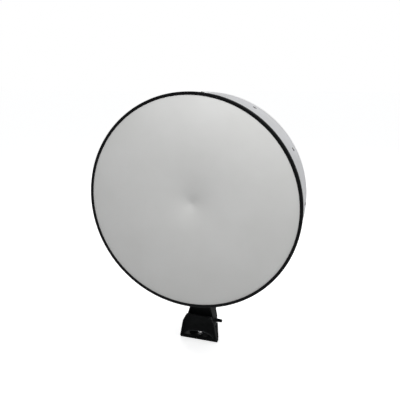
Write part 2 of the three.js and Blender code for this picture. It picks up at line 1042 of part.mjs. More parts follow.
// An upright plate between the arm's cheeks, slotted for the elevation lock bolt.
function elevationQuadrant() {
  const pivot = new THREE.Vector2(0, PIVOT_HEIGHT);
  const lockY = LOCK_POINT.y;
  const lockZ = LOCK_POINT.z - PIVOT_HEIGHT;
  const radius = Math.hypot(lockY, lockZ);
  const rest = Math.atan2(lockZ, lockY);
  const swing = degrees(ELEVATION_SWING);
  const bladeHalfWidth = 12;
  const blade = arcSlot(pivot, radius, bladeHalfWidth, rest - swing, rest + swing);
  const slot = arcSlot(pivot, radius, FASTENER.M8.hole, rest - swing, rest + swing);
  const foot = { front: 24, rear: 60, low: floorTop + GAP, high: floorTop + 14 };
  const low = pointFrom(pivot, radius + bladeHalfWidth - 1, rest - swing);
  const high = pointFrom(pivot, radius - bladeHalfWidth + 1, rest);
  const stem = outline([
    [foot.front, foot.low],
    [foot.rear, foot.low],
    [foot.rear, foot.high],
    [low.x, low.y],
    [high.x, high.y],
    [foot.front, foot.high],
  ]);
  const side = QUADRANT_HALF_THICKNESS;
  const body = join([
    solid(sideways(blade, -side, side)),
    solid(sideways(stem, -side, side)),
  ]);
  return geometryOf(cut(body, [solid(sideways(slot, -side - 1, side + 1))]));
}

add(part, "yoke", yoke(), MATERIALS.blackPaint);
add(
  part,
  "elevation_quadrant",
  elevationQuadrant(),
  MATERIALS.blackPaint,
);

// ---- elevation pivot ----

const pivot = new THREE.Group();
pivot.position.z = PIVOT_HEIGHT;
pivot.rotation.z = -Math.PI / 2; // fasteners drawn along Y now run along X
part.add(pivot);

const PIVOT_BOLT_END = 72; // it stands well out of its nut
const BUSH_RADIUS = 8;
const pivotSeat = FORK_HALF_WIDTH + GAP;
const washerThick = FASTENER.M8.thick;
const pivotHeadX = -pivotSeat - washerThick - GAP;

add(
  pivot,
  "elevation_bolt",
  hexBolt("M8", PIVOT_BOLT_END - pivotHeadX),
  MATERIALS.blackSteel,
).position.y = pivotHeadX;
add(
  pivot,
  "elevation_washer_left",
  washer("M8"),
  MATERIALS.blackSteel,
).position.y = -pivotSeat - washerThick;
add(
  pivot,
  "elevation_washer_right",
  washer("M8"),
  MATERIALS.blackSteel,
).position.y = pivotSeat;
const pivotNutStart = pivotSeat + washerThick + GAP;
add(pivot, "elevation_nut", hexNut("M8"), MATERIALS.blackSteel).position.y =
  pivotNutStart;

// A rubber cap covers the thread that stands out of the nut.
const CAP_WALL = 1.4;

function threadCap() {
  const bore = FASTENER.M8.radius + GAP;
  const outer = bore + CAP_WALL;
  const start = pivotNutStart + FASTENER.M8.nut + GAP;
  const inside = PIVOT_BOLT_END + GAP;
  const end = inside + CAP_WALL;
  return turned(
    [
      [0, inside],
      [bore, inside],
      [bore, start],
      [outer, start],
      [outer, end - 2],
      [outer - 2, end],
      [0, end],
    ],
    16,
  );
}

add(pivot, "thread_cap", threadCap(), MATERIALS.rubber);

const bushLength = FORK_HALF_WIDTH - PLATE - YOKE_EAR_HALF_WIDTH - 2 * GAP;
const pivotBush = () => bush(FASTENER.M8.radius + GAP, BUSH_RADIUS, bushLength);
add(pivot, "pivot_bush_left", pivotBush(), MATERIALS.plastic).position.y =
  -YOKE_EAR_HALF_WIDTH - GAP - bushLength;
add(pivot, "pivot_bush_right", pivotBush(), MATERIALS.plastic).position.y =
  YOKE_EAR_HALF_WIDTH + GAP;

// ---- elevation lock ----

const lock = new THREE.Group();
lock.position.set(0, LOCK_POINT.y, LOCK_POINT.z);
lock.rotation.z = -Math.PI / 2;
part.add(lock);

const lockSeat = LOCK_BOSS.outer + GAP;
const quadrantSide = QUADRANT_HALF_THICKNESS + GAP;
const lockSpacerLength = LOCK_BOSS.inner - GAP - quadrantSide;

add(
  lock,
  "elevation_lock_bolt",
  hexBolt("M8", 2 * lockSeat + 12),
  MATERIALS.blackSteel,
).position.y = -lockSeat;
add(lock, "elevation_lock_nut", hexNut("M8"), MATERIALS.zincSteel).position.y =
  lockSeat;
const LOCK_SPACER_RADIUS = 7;
const lockSpacer = () =>
  bush(FASTENER.M8.radius + GAP, LOCK_SPACER_RADIUS, lockSpacerLength);
add(lock, "lock_spacer_left", lockSpacer(), MATERIALS.zincSteel).position.y =
  -quadrantSide - lockSpacerLength;
add(lock, "lock_spacer_right", lockSpacer(), MATERIALS.zincSteel).position.y =
  quadrantSide;

// ---- base ----

const TAPPED_FROM = 1.5; // the tapped holes stop short of the underside

function basePlate() {
  const plate = solid(
    upright(footOutline(BASE_FRONT, BASE_REAR), 0, BASE_THICKNESS),
  );
  const tapped = (size, x, y) =>
    solid(
      rod(
        FASTENER[size].radius + GAP,
        TAPPED_FROM,
        BASE_THICKNESS + 1,
        "z",
        HOLE_SIDES,
      ).translate(x, y, 0),
    );
  const locks = azimuthLockPlaces().map(({ x, y }) => tapped("M8", x, y));
  return geometryOf(cut(plate, [tapped("M10", 0, 0), ...locks]));
}

add(part, "base_plate", basePlate(), MATERIALS.blackPaint);

// A bolt and washer screwed down into the base plate through the yoke's floor.
function downBolt(name, size, x, y, material) {
  const { thick } = FASTENER[size];
  const under = floorTop + GAP;
  const place = new THREE.Group();
  place.position.set(x, y, 0);
  place.rotation.x = -Math.PI / 2; // fasteners drawn along +Y now run along -Z
  part.add(place);
  add(place, `${name}_washer`, washer(size), material).position.y =
    -under - thick;
  const head = under + thick + GAP;
  add(
    place,
    `${name}_bolt`,
    hexBolt(size, head - TAPPED_FROM - 0.5),
    material,
  ).position.y = -head;
}

downBolt("azimuth", "M10", 0, 0, MATERIALS.zincSteel);
for (const { name, x, y } of azimuthLockPlaces()) {
  const material = name === "front" ? MATERIALS.zincSteel : MATERIALS.blackSteel;
  downBolt(`azimuth_lock_${name}`, "M8", x, y, material);
}

export default part;
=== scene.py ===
"""The looks of a shrouded parabolic dish antenna, built round its CAD frame. Everything is in metres."""

import json
import math
import random

import bmesh
import bpy
from mathutils import Matrix, Vector


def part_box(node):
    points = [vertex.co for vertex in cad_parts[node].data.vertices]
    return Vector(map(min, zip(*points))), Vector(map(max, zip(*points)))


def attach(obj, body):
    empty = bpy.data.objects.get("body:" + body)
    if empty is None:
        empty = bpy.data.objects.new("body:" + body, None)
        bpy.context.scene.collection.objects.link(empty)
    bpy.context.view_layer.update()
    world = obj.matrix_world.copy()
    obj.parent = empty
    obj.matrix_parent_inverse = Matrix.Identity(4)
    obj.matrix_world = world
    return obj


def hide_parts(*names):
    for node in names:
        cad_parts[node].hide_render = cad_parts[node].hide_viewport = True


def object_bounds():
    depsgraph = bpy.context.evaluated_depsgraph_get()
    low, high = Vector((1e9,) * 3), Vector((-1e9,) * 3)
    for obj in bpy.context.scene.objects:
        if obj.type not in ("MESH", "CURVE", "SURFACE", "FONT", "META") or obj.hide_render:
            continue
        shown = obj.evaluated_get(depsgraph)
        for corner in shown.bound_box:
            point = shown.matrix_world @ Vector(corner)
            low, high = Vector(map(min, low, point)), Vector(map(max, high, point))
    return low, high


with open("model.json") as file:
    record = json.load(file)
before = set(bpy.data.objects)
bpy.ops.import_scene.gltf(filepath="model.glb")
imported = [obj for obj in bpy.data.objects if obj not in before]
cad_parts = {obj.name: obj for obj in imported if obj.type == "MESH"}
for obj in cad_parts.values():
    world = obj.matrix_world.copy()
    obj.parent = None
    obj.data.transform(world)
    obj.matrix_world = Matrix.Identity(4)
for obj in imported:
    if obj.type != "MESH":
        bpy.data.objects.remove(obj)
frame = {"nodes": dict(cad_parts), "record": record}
cad_box = [list(corner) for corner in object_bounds()]

MM = 0.001
TURN = 2 * math.pi

# ---- camera and light ----

CAMERA_PLACE = (0.4028, -1.3195, 0.8618)
CAMERA_AZIMUTH = 17.28  # degrees round to the antenna's right
CAMERA_ELEVATION = 14.89
CAMERA_LENS, CAMERA_SENSOR = 38.97, 36  # millimetres
ROOM_GLOW = 0.33
FLOOR_HALF = 60  # far past what the lens takes in
FLOOR_GLOW = 0.7


def make_camera():
    azimuth, elevation = math.radians(CAMERA_AZIMUTH), math.radians(CAMERA_ELEVATION)
    back = Vector((
        math.sin(azimuth) * math.cos(elevation),
        -math.cos(azimuth) * math.cos(elevation),
        math.sin(elevation),
    ))
    data = bpy.data.cameras.new("camera")
    data.lens = CAMERA_LENS
    data.sensor_width = CAMERA_SENSOR
    camera = bpy.data.objects.new("camera", data)
    camera.location = CAMERA_PLACE
    camera.rotation_mode = "QUATERNION"
    camera.rotation_quaternion = back.to_track_quat("Z", "Y")
    bpy.context.scene.collection.objects.link(camera)
    bpy.context.scene.camera = camera


def area_light(name, place, aim, size, watts):
    data = bpy.data.lights.new(name, "AREA")
    data.shape = "DISK"
    data.size = size
    data.energy = watts
    light = bpy.data.objects.new(name, data)
    light.location = place
    light.rotation_mode = "QUATERNION"
    light.rotation_quaternion = (Vector(place) - Vector(aim)).to_track_quat("Z", "Y")
    bpy.context.scene.collection.objects.link(light)
    return light


def white_to_the_lens(tree, lit, white, output):
    """Shows the plain white paper of the studio to the lens, and lit to everything else."""
    path = tree.nodes.new("ShaderNodeLightPath")
    mix = tree.nodes.new("ShaderNodeMixShader")
    tree.links.new(path.outputs["Is Camera Ray"], mix.inputs["Fac"])
    tree.links.new(lit, mix.inputs[1])
    tree.links.new(white, mix.inputs[2])
    tree.links.new(mix.outputs["Shader"], output)


def make_studio():
    """A white room with soft light, and two lights that are for the face and the arch's lip alone."""
    scene = bpy.context.scene
    scene.view_settings.view_transform = "Standard"
    world = bpy.data.worlds.new("studio")
    world.use_nodes = True
    tree = world.node_tree
    room = tree.nodes["Background"]
    room.inputs["Color"].default_value = (0.98, 0.99, 1, 1)
    room.inputs["Strength"].default_value = ROOM_GLOW
    paper = tree.nodes.new("ShaderNodeBackground")
    paper.inputs["Color"].default_value = (1, 1, 1, 1)
    surface = tree.nodes["World Output"].inputs["Surface"]
    white_to_the_lens(tree, room.outputs[0], paper.outputs[0], surface)
    scene.world = world
    area_light("overhead", (0.8, 0.4, 2.2), aim=(0.1, 0.1, 0.4), size=1.8, watts=17)
    area_light("side_fill", (2.6, 0.1, 0.9), aim=(0.2, 0, 0.5), size=1.6, watts=6)
    area_light("rear_fill", (-1.7, 2.4, 1.5), aim=(0, 0.1, 0.45), size=2.2, watts=20)
    face_light = area_light("face_light", (0.397, -0.549, 1.6), aim=(0, -0.11, 0.51), size=0.22, watts=16.8)
    arch_light = area_light("arch_light", (0.1, -1.1, 0.6), aim=(0, -0.02, 0.02), size=0.3, watts=22)
    return face_light, arch_light


def light_only(light, pieces):
    """Makes a light fall on these pieces and on nothing else, without shadows."""
    lit = bpy.data.collections.new(light.name + "_falls_on")
    for piece in pieces:
        lit.objects.link(piece)
    light.light_linking.receiver_collection = lit
    light.data.use_shadow = False


def make_floor():
    """A wide pale floor under the base plate."""
    bottom = cad_box[0][2]
    mesh = bpy.data.meshes.new("studio_floor")
    corners = [(x * FLOOR_HALF, y * FLOOR_HALF, bottom) for x, y in ((-1, -1), (1, -1), (1, 1), (-1, 1))]
    mesh.from_pydata(corners, [], [(0, 1, 2, 3)])
    floor = bpy.data.objects.new("studio_floor", mesh)
    bpy.context.scene.collection.objects.link(floor)
    material = bpy.data.materials.new("studio_floor")
    material.use_nodes = True
    tree = material.node_tree
    shader = tree.nodes["Principled BSDF"]
    shader.inputs["Base Color"].default_value = (0.9, 0.9, 0.9, 1)
    shader.inputs["Roughness"].default_value = 0.9
    glow = tree.nodes.new("ShaderNodeEmission")
    glow.inputs["Strength"].default_value = FLOOR_GLOW
    both = tree.nodes.new("ShaderNodeAddShader")
    tree.links.new(shader.outputs[0], both.inputs[0])
    tree.links.new(glow.outputs[0], both.inputs[1])
    surface = tree.nodes["Material Output"].inputs["Surface"]
    white_to_the_lens(tree, shader.outputs[0], both.outputs[0], surface)
    mesh.materials.append(material)


make_camera()
face_light, arch_light = make_studio()
make_floor()

# ---- what the frame says ----

RECORD = frame["record"]
NODES = frame["nodes"]
BODY_OF = {node: body for body, members in RECORD["behaviour"]["bodies"].items() for node in members}
SLOT_OF = {part["node"]: part["material_slot"] for part in RECORD["subparts"]}


def middle(node):
    low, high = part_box(node)
    return (low + high) / 2


AXIS = middle("shroud").z  # height of the antenna's axis
AXIS_PLACE = Vector((0, 0, AXIS))
BACKWARDS = Vector((0, 1, 0))


def span_y(node):
    low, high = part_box(node)
    return low.y, high.y


def outer_radius(node):
    """Of a node that is turned about the antenna's axis."""
    low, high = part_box(node)
    return (high.z - low.z) / 2


def inner_radius(node):
    """Distance from the antenna's axis to the nearest point of a node."""
    return min(math.hypot(v.co.x, v.co.z - AXIS) for v in NODES[node].data.vertices)


# ---- materials ----


class Nodes:
    """Builds one material's node tree."""

    def __init__(self, name):
        self.material = bpy.data.materials.new(name)
        self.material.use_nodes = True
        self.tree = self.material.node_tree
        self.shader = self.tree.nodes["Principled BSDF"]
        self.place = self.tree.nodes.new("ShaderNodeTexCoord").outputs["Object"]
        self.bump_out = None

    def even(self, name, value):
        """Sets a number that is the same all over."""
        self.shader.inputs[name].default_value = value

    def link(self, output, name):
        self.tree.links.new(output, self.shader.inputs[name])

    def feed(self, node, socket, value):
        if isinstance(value, (int, float, tuple)):
            node.inputs[socket].default_value = value
        else:
            self.tree.links.new(value, node.inputs[socket])

    def noise(self, size, detail=3, rough=0.5):
        """Noise whose lumps are about size metres across."""
        node = self.tree.nodes.new("ShaderNodeTexNoise")
        node.inputs["Scale"].default_value = 1 / size
        node.inputs["Detail"].default_value = detail
        node.inputs["Roughness"].default_value = rough
        self.tree.links.new(self.place, node.inputs["Vector"])
        return node.outputs["Fac"]

    def spread(self, value, low, high, start=0.3, end=0.7):
        """Maps value from start..end to low..high, and stops there."""
        node = self.tree.nodes.new("ShaderNodeMapRange")
        for socket, number in (("From Min", start), ("From Max", end), ("To Min", low), ("To Max", high)):
            node.inputs[socket].default_value = number
        self.tree.links.new(value, node.inputs["Value"])
        return node.outputs["Result"]

    def math(self, operation, a, b=0.0):
        node = self.tree.nodes.new("ShaderNodeMath")
        node.operation = operation
        self.feed(node, 0, a)
        self.feed(node, 1, b)
        return node.outputs[0]

    def mix(self, factor, a, b):
        node = self.tree.nodes.new("ShaderNodeMix")
        node.data_type = "RGBA"
        self.feed(node, 0, factor)
        self.feed(node, 6, a)
        self.feed(node, 7, b)
        return node.outputs[2]

    def bump(self, height, depth):
        """Adds relief: height runs from 0 to 1 and depth is in metres."""
        node = self.tree.nodes.new("ShaderNodeBump")
        node.inputs["Distance"].default_value = depth
        self.tree.links.new(height, node.inputs["Height"])
        if self.bump_out is not None:
            self.tree.links.new(self.bump_out, node.inputs["Normal"])
        self.bump_out = node.outputs["Normal"]

    def round_axis(self):
        """Distance from the antenna's axis."""
        split = self.tree.nodes.new("ShaderNodeSeparateXYZ")
        self.tree.links.new(self.place, split.inputs[0])
        across = self.math("MULTIPLY", split.outputs["X"], split.outputs["X"])
        up = self.math("SUBTRACT", split.outputs["Z"], AXIS)
        up = self.math("MULTIPLY", up, up)
        return self.math("SQRT", self.math("ADD", across, up))

    def worn_edges(self, width):
        """1 on sharp outer edges, broken up by noise, and 0 elsewhere."""
        rounded = self.tree.nodes.new("ShaderNodeBevel")
        rounded.samples = 4
        rounded.inputs["Radius"].default_value = width
        geometry = self.tree.nodes.new("ShaderNodeNewGeometry")
        turn = self.tree.nodes.new("ShaderNodeVectorMath")
        turn.operation = "DOT_PRODUCT"
        self.tree.links.new(rounded.outputs["Normal"], turn.inputs[0])
        self.tree.links.new(geometry.outputs["Normal"], turn.inputs[1])
        edge = self.spread(turn.outputs["Value"], 1, 0, 0.9, 0.985)
        patch = self.spread(self.noise(9 * MM, 4), 0, 1, 0.5, 0.62)
        return self.math("MULTIPLY", edge, patch)

    def done(self):
        if self.bump_out is not None:
            self.link(self.bump_out, "Normal")
        return self.material


def rgb(red, green, blue):
    return (red, green, blue, 1)


def radome_sheet():
    """Satin plastic sheet: a fine orange-peel skin, faint haze and a little dust."""
    n = Nodes("radome_sheet")
    haze = n.spread(n.noise(160 * MM, 3), 0, 1, 0.35, 0.65)
    colour = n.mix(haze, rgb(0.63, 0.63, 0.617), rgb(0.66, 0.66, 0.65))
    speck = n.spread(n.noise(3.5 * MM, 2), 0, 0.35, 0.62, 0.72)
    n.link(n.mix(speck, colour, rgb(0.585, 0.585, 0.57)), "Base Color")
    n.link(n.spread(n.noise(45 * MM, 4), 0.36, 0.46), "Roughness")
    n.bump(n.noise(2.2 * MM, 2), 0.03 * MM)
    n.bump(n.noise(70 * MM, 1), 0.25 * MM)
    n.even("IOR", 1.49)
    return n.done()


def black_rubber():
    n = Nodes("black_rubber")
    bloom = n.spread(n.noise(22 * MM, 4), 0, 1, 0.45, 0.75)
    n.link(n.mix(bloom, rgb(0.004, 0.0044, 0.0055), rgb(0.009, 0.0095, 0.011)), "Base Color")
    n.link(n.spread(n.noise(9 * MM, 3), 0.5, 0.68), "Roughness")
    n.bump(n.noise(0.8 * MM, 2), 0.05 * MM)
    n.even("Specular IOR Level", 0.2)
    return n.done()


def shroud_paint():
    """White powder paint with its orange peel, slightly dirtier in patches."""
    n = Nodes("shroud_paint")
    dirt = n.spread(n.noise(90 * MM, 5, rough=0.6), 0, 1, 0.5, 0.75)
    colour = n.mix(dirt, rgb(0.79, 0.795, 0.81), rgb(0.72, 0.72, 0.715))
    chips = n.worn_edges(0.5 * MM)
    n.link(n.mix(chips, colour, rgb(0.52, 0.52, 0.53)), "Base Color")
    n.link(n.spread(n.noise(30 * MM, 3), 0.3, 0.42), "Roughness")
    n.bump(n.noise(1.6 * MM, 2), 0.05 * MM)
    return n.done()


def absorber_foam():
    n = Nodes("absorber_foam")
    cell = n.tree.nodes.new("ShaderNodeTexVoronoi")
    cell.inputs["Scale"].default_value = 1 / (2.4 * MM)
    n.tree.links.new(n.place, cell.inputs["Vector"])
    pore_depth_and_shade = n.spread(cell.outputs["Distance"], 0, 1, 0.1, 0.7)
    # The pore pits are painted darker, which is painted shade in the pits; the same mask also gives their
    # relief.
    n.link(n.mix(pore_depth_and_shade, rgb(0.012, 0.012, 0.014), rgb(0.05, 0.05, 0.054)), "Base Color")
    n.link(n.spread(n.noise(12 * MM), 0.85, 0.98), "Roughness")
    n.bump(pore_depth_and_shade, 0.5 * MM)
    return n.done()


def reflector_metal():
    """Spun aluminium: the roller's fine rings, under a dull film that comes and goes."""
    n = Nodes("reflector_metal")
    radius = n.round_axis()
    rings = n.tree.nodes.new("ShaderNodeTexNoise")
    rings.noise_dimensions = "1D"
    rings.inputs["Scale"].default_value = 1 / (1.3 * MM)
    rings.inputs["Detail"].default_value = 3
    n.tree.links.new(radius, rings.inputs["W"])
    film = n.spread(n.noise(60 * MM, 5, rough=0.6), 0, 1, 0.4, 0.65)
    n.link(n.mix(film, rgb(0.78, 0.785, 0.8), rgb(0.66, 0.665, 0.67)), "Base Color")
    grain = n.math("MULTIPLY", rings.outputs["Fac"], 0.16)
    n.link(n.math("ADD", grain, n.spread(film, 0.24, 0.38, 0, 1)), "Roughness")
    n.bump(rings.outputs["Fac"], 0.06 * MM)
    n.even("Metallic", 1)
    return n.done()


def cast_aluminium():
    n = Nodes("cast_aluminium")
    film = n.spread(n.noise(28 * MM, 5, rough=0.6), 0, 1, 0.4, 0.68)
    colour = n.mix(film, rgb(0.62, 0.625, 0.64), rgb(0.47, 0.475, 0.48))
    n.link(n.mix(n.worn_edges(0.6 * MM), colour, rgb(0.8, 0.8, 0.81)), "Base Color")
    n.link(n.spread(n.noise(6 * MM, 4), 0.36, 0.56), "Roughness")
    n.bump(n.noise(1.2 * MM, 3), 0.09 * MM)
    n.even("Metallic", 0.9)
    return n.done()


def black_powder_coat():
    """Dark textured powder paint on steel, rubbed at its edges, with a little grey dust."""
    n = Nodes("black_powder_coat")
    dust = n.spread(n.noise(35 * MM, 5, rough=0.62), 0, 1, 0.42, 0.75)
    colour = n.mix(dust, rgb(0.003, 0.0036, 0.0038), rgb(0.0066, 0.0078, 0.0084))
    n.link(n.mix(n.worn_edges(0.8 * MM), colour, rgb(0.09, 0.094, 0.096)), "Base Color")
    n.link(n.spread(n.noise(14 * MM, 4), 0.48, 0.66), "Roughness")
    n.bump(n.noise(0.9 * MM, 2), 0.07 * MM)
    n.bump(n.noise(8 * MM, 2), 0.08 * MM)
    n.even("Specular IOR Level", 0.14)
    return n.done()


def zinc_plated_steel():
    """Bright zinc with the bluish and straw tints that its passivation leaves."""
    n = Nodes("zinc_plated_steel")
    tint = n.spread(n.noise(5 * MM, 3), 0, 1, 0.38, 0.62)
    colour = n.mix(tint, rgb(0.64, 0.65, 0.72), rgb(0.7, 0.68, 0.62))
    dull = n.spread(n.noise(2.2 * MM, 4), 0, 0.6, 0.52, 0.72)
    n.link(n.mix(dull, colour, rgb(0.42, 0.42, 0.43)), "Base Color")
    n.link(n.spread(n.noise(1.8 * MM, 3), 0.24, 0.42), "Roughness")
    n.bump(n.noise(0.4 * MM, 2), 0.012 * MM)
    n.even("Metallic", 1)
    return n.done()


def blackened_steel():
    """Oiled black oxide on a high-tensile bolt, with the steel showing through where a spanner rubs."""
    n = Nodes("blackened_steel")
    oil = n.spread(n.noise(6 * MM, 4), 0, 1, 0.4, 0.7)
    colour = n.mix(oil, rgb(0.018, 0.018, 0.022), rgb(0.045, 0.044, 0.048))
    n.link(n.mix(n.worn_edges(0.4 * MM), colour, rgb(0.3, 0.3, 0.33)), "Base Color")
    n.link(n.spread(n.noise(2.5 * MM, 3), 0.28, 0.46), "Roughness")
    n.bump(n.noise(0.5 * MM, 2), 0.015 * MM)
    n.even("Metallic", 0.7)
    return n.done()


def pale_plastic(name, light, dark, roughness):
    n = Nodes(name)
    cloud = n.spread(n.noise(14 * MM, 3), 0, 1, 0.38, 0.66)
    n.link(n.mix(cloud, light, dark), "Base Color")
    n.link(n.spread(n.noise(4 * MM, 3), roughness - 0.06, roughness + 0.08), "Roughness")
    n.bump(n.noise(0.5 * MM, 2), 0.015 * MM)
    n.even("IOR", 1.5)
    return n.done()


MATERIALS = {
    "radome_sheet": radome_sheet(),
    "black_rubber": black_rubber(),
    "shroud_paint": shroud_paint(),
    "absorber_foam": absorber_foam(),
    "reflector_metal": reflector_metal(),
    "cast_aluminium": cast_aluminium(),
    "black_powder_coat": black_powder_coat(),
    "zinc_plated_steel": zinc_plated_steel(),
    "blackened_steel": blackened_steel(),
    "feed_dielectric": pale_plastic("feed_dielectric", rgb(0.86, 0.85, 0.8), rgb(0.79, 0.77, 0.7), 0.34),
    "bush_nylon": pale_plastic("bush_nylon", rgb(0.74, 0.72, 0.66), rgb(0.64, 0.61, 0.54), 0.42),
}

# ---- making pieces ----


def show(work, name, body, slot, smooth=35):
    """Makes a piece from a bmesh. Edges sharper than smooth degrees stay crisp."""
    mesh = bpy.data.meshes.new(name)
    bmesh.ops.recalc_face_normals(work, faces=work.faces)
    work.to_mesh(mesh)
    work.free()
    mesh.polygons.foreach_set("use_smooth", [True] * len(mesh.polygons))
    mesh.set_sharp_from_angle(angle=math.radians(smooth))
    mesh.materials.append(MATERIALS[slot])
    piece = bpy.data.objects.new(name, mesh)
    bpy.context.scene.collection.objects.link(piece)
    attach(piece, body)
    return piece


def replace(node, work, smooth=35):
    """Shows work in place of a CAD node."""
    piece = show(work, node + "_finished", BODY_OF[node], SLOT_OF[node], smooth)
    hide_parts(node)
    return piece


def turned(outline_at, steps, place, direction, start=0.0, sweep=TURN):
    """Turns a closed outline about an axis through place. outline_at(angle) gives (along, radius) pairs."""
    work = bmesh.new()
    whole = sweep > TURN - 1e-6
    rings = []
    for step in range(steps if whole else steps + 1):
        angle = start + sweep * step / steps
        rings.append([
            work.verts.new((radius * math.sin(angle), radius * math.cos(angle), along))
            for along, radius in outline_at(angle)
        ])
    pairs = list(zip(rings, rings[1:] + rings[:1])) if whole else list(zip(rings, rings[1:]))
    outline = outline_at(start)
    count = len(outline)
    for ring, after in pairs:
        for i in range(count):
            j = (i + 1) % count
            if outline[i][1] > 0 or outline[j][1] > 0:
                work.faces.new((ring[i], ring[j], after[j], after[i]))
    if not whole:
        work.faces.new(rings[0])
        work.faces.new(rings[-1])
    bmesh.ops.remove_doubles(work, verts=work.verts, dist=1e-7)
    facing = Vector(direction).to_track_quat("Z", "Y").to_matrix().to_4x4()
    work.transform(Matrix.Translation(place) @ facing)
    return work


def lathe(outline, steps=240, **extra):
    """Turns (y, radius) points about the antenna's axis."""
    return turned(lambda angle: outline, steps, AXIS_PLACE, BACKWARDS, **extra)


def rounded(points, radius, steps=4):
    """The same closed outline with each corner rounded off."""
    result = []
    for before, corner, after in zip(points[-1:] + points[:-1], points, points[1:] + points[:1]):
        corner = Vector(corner)
        back, on = Vector(before) - corner, Vector(after) - corner
        reach = min(radius, back.length * 0.48, on.length * 0.48)  # so neighbouring corners never meet
        start = corner + back.normalized() * reach
        end = corner + on.normalized() * reach
        for i in range(steps + 1):
            t = i / steps
            result.append(tuple(start.lerp(corner, t).lerp(corner.lerp(end, t), t)))
    return result


def softened(node, width, smooth=35):
    """A copy of a CAD node with its flat faces merged and its edges rounded."""
    source = NODES[node].data
    mesh = bpy.data.meshes.new("copy")
    mesh.from_pydata([v.co[:] for v in source.vertices], [], [p.vertices[:] for p in source.polygons])
    work = bmesh.new()
    work.from_mesh(mesh)
    bpy.data.meshes.remove(mesh)
    bmesh.ops.remove_doubles(work, verts=work.verts, dist=1e-6)
    bmesh.ops.dissolve_limit(work, angle_limit=math.radians(1), verts=work.verts, edges=work.edges)
    piece = replace(node, work, smooth)
    bevel = piece.modifiers.new("rounded edges", "BEVEL")
    bevel.width = width
    bevel.segments = 3
    bevel.limit_method = "ANGLE"
    bevel.angle_limit = math.radians(40)
    bevel.harden_normals = True
    return piece


# ---- housing ----

RADOME_WALL = 3 * MM
RADOME_DISH = 22 * MM  # how far its middle is drawn in
SHEET = 2.2 * MM  # the shroud's wall
RIVET_RADIUS = 2.4 * MM
trim_front, trim_rear = span_y("edge_trim")
trim_outer = outer_radius("edge_trim")
trim_lip = inner_radius("edge_trim")
radome_front, _ = span_y("radome")
shroud_front, shroud_rear = span_y("shroud")
shroud_outer = outer_radius("shroud")


def make_radome():
    """A shallow cone that steepens towards its softened apex, with a low swell beside the trim's lip."""
    flat_from = trim_lip - 3 * MM
    apex_round = 8 * MM
    steep_share, steep_reach = 0.37, 60 * MM  # how much of the depth lies near the apex, and how near
    steps = 60

    def drawn(radius):
        out = math.hypot(radius, apex_round) - apex_round
        return (1 - steep_share) * out / flat_from + steep_share * (1 - math.exp(-out / steep_reach))

    def face(radius):
        return radome_front + RADOME_DISH * (1 - drawn(radius) / drawn(flat_from))

    radii = [flat_from * (i / steps) ** 1.4 for i in range(steps + 1)]
    front = [(face(r), r) for r in radii]
    swell = [
        (radome_front - height * MM, flat_from + out * MM)
        for out, height in ((0.6, 0.02), (1.2, 0.08), (1.8, 0.18), (2.4, 0.24), (3.0, 0.18), (3.8, 0))
    ]
    edge, chamfer = outer_radius("radome"), 0.6 * MM
    rim = [
        (radome_front, edge - chamfer),
        (radome_front + chamfer, edge),
        (radome_front + RADOME_WALL, edge),
    ]
    back = [(y + RADOME_WALL, r) for y, r in reversed(front)]
    return replace("radome", lathe(front + swell + rim + back), 50)


def make_edge_trim():
    """An extruded rubber channel with a soft lip, a fine groove round it, and a butt joint at the bottom."""
    clearance = 0.3 * MM
    wall = trim_outer - shroud_outer - clearance
    lip_slope, shoulder = 1.4 * MM, 2.4 * MM
    groove_place, groove_half, groove_depth = 6.2 * MM, 0.6 * MM, 0.5 * MM
    outline = [
        (trim_front + 0.3 * MM, trim_lip),
        (trim_front, trim_lip + lip_slope),
        (trim_front, trim_outer - shoulder),
        (trim_front + shoulder, trim_outer),
        (trim_front + groove_place - groove_half, trim_outer),
        (trim_front + groove_place, trim_outer - groove_depth),
        (trim_front + groove_place + groove_half, trim_outer),
        (trim_rear, trim_outer),
        (trim_rear, trim_outer - wall),
        (trim_front + wall, trim_outer - wall),
        (trim_front + wall, trim_lip),
    ]
    gap = 0.8 * MM / trim_outer  # of the joint, as an angle
    channel = lathe(rounded(outline, 0.9 * MM), 239, start=math.pi + gap / 2, sweep=TURN - gap)
    replace("edge_trim", channel)


def make_shroud():
    """A rolled sheet cylinder: front fold, stiffening beads, and a rolled rear hem."""
    inside = shroud_outer - SHEET
    front_fold, rear_roll = 12 * MM, 6 * MM
    hem = 3 * MM  # radius of the rear edge's outer corner

    def bead(centre, half, height):
        ends = ((-1, 0), (-0.6, 0.35), (-0.25, 0.9), (0.25, 0.9), (0.6, 0.35), (1, 0))
        return [(centre + half * along, shroud_outer + height * up) for along, up in ends]

    outline = [
        (shroud_front, shroud_outer - front_fold),
        (shroud_front, shroud_outer - 0.4 * MM),
        (shroud_front + 0.4 * MM, shroud_outer),
        *bead(trim_rear + 4.5 * MM, half=3 * MM, height=1.1 * MM),
        *bead(shroud_rear - 26 * MM, half=5 * MM, height=1.3 * MM),
        (shroud_rear - hem, shroud_outer),
        (shroud_rear - 0.3 * hem, shroud_outer - 0.3 * hem),
        (shroud_rear, shroud_outer - hem),
        (shroud_rear, inside - rear_roll + 1 * MM),
        (shroud_rear - 1 * MM, inside - rear_roll),
        (shroud_rear - SHEET, inside - rear_roll),
        (shroud_rear - SHEET, inside),
        (shroud_front + SHEET, inside),
        (shroud_front + SHEET, shroud_outer - front_fold),
    ]
    replace("shroud", lathe(outline, 288), 40)


def pop_rivet(name, place, outward, body, slot):
    """A low domed head with the small pit that the mandrel leaves."""
    radius, height, sunk = RIVET_RADIUS, RIVET_RADIUS * 0.42, 0.4 * MM
    outline = [
        (height * 0.45, 0), (height * 0.5, radius * 0.26), (height, radius * 0.34),
        (height * 0.86, radius * 0.62), (height * 0.5, radius * 0.88), (0, radius),
        (-sunk, radius), (-sunk, 0),
    ]
    show(turned(lambda angle: outline, 20, place, outward), name, body, slot, 60)


